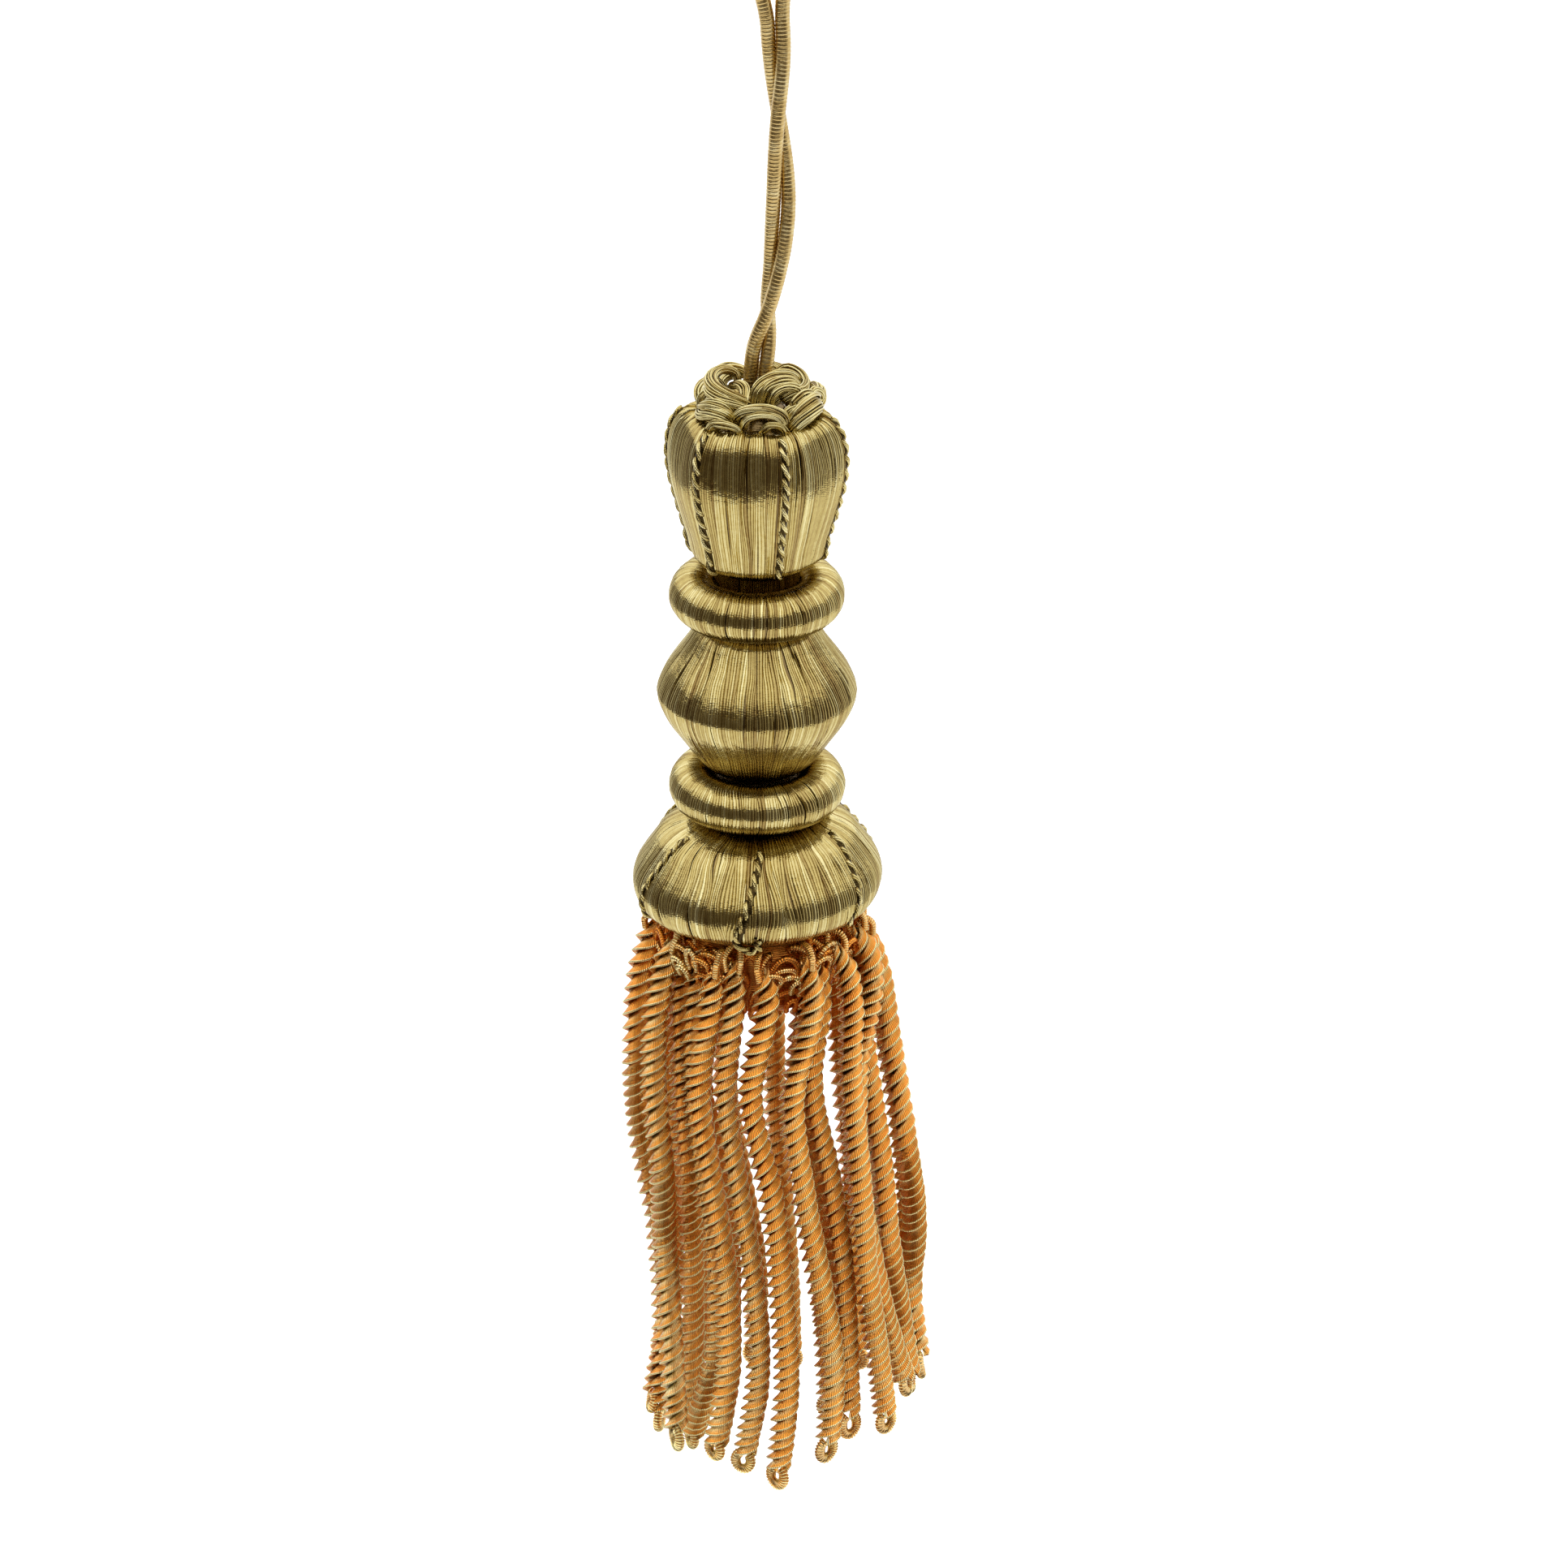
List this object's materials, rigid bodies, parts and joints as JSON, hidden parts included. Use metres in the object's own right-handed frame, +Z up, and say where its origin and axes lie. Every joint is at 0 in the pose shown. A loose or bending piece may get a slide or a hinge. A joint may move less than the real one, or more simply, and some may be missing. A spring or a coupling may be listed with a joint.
{
  "type": "bullion tassel",
  "caption": "Hanging tassel with a thread-covered turned head, a looped twisted cord above it and a skirt of twisted metallic bullion strands below.",
  "frame": {"origin": "the point inside the top of the cord's loop that a hook, knob or key bears on", "axes": "+Z up along the hanging tassel, +X to the right and -Y to the front as in the picture"},
  "size_m": [0.0348, 0.0318, 0.1902],
  "materials": {
    "cord": "metallic gimp, satin",
    "head_thread": "metallic gold thread, satin",
    "laid_cord": "twisted metallic thread, satin",
    "bullion": "wire-wrapped metallic bullion, bright"
  },
  "bodies": {
    "root": {"hanging_cord": "cord", "rosette": "head_thread", "head_cup": "head_thread", "ring_upper": "head_thread", "bead": "head_thread", "ring_lower": "head_thread", "bell": "head_thread", "bullion_skirt": "bullion", "cup_cord_1": "laid_cord", "cup_cord_2": "laid_cord", "cup_cord_3": "laid_cord", "cup_cord_4": "laid_cord", "cup_cord_5": "laid_cord", "cup_cord_6": "laid_cord", "bell_cord_1": "laid_cord", "bell_cord_2": "laid_cord", "bell_cord_3": "laid_cord", "bell_cord_4": "laid_cord", "bell_cord_5": "laid_cord", "bell_cord_6": "laid_cord"}
  },
  "joints": []
}
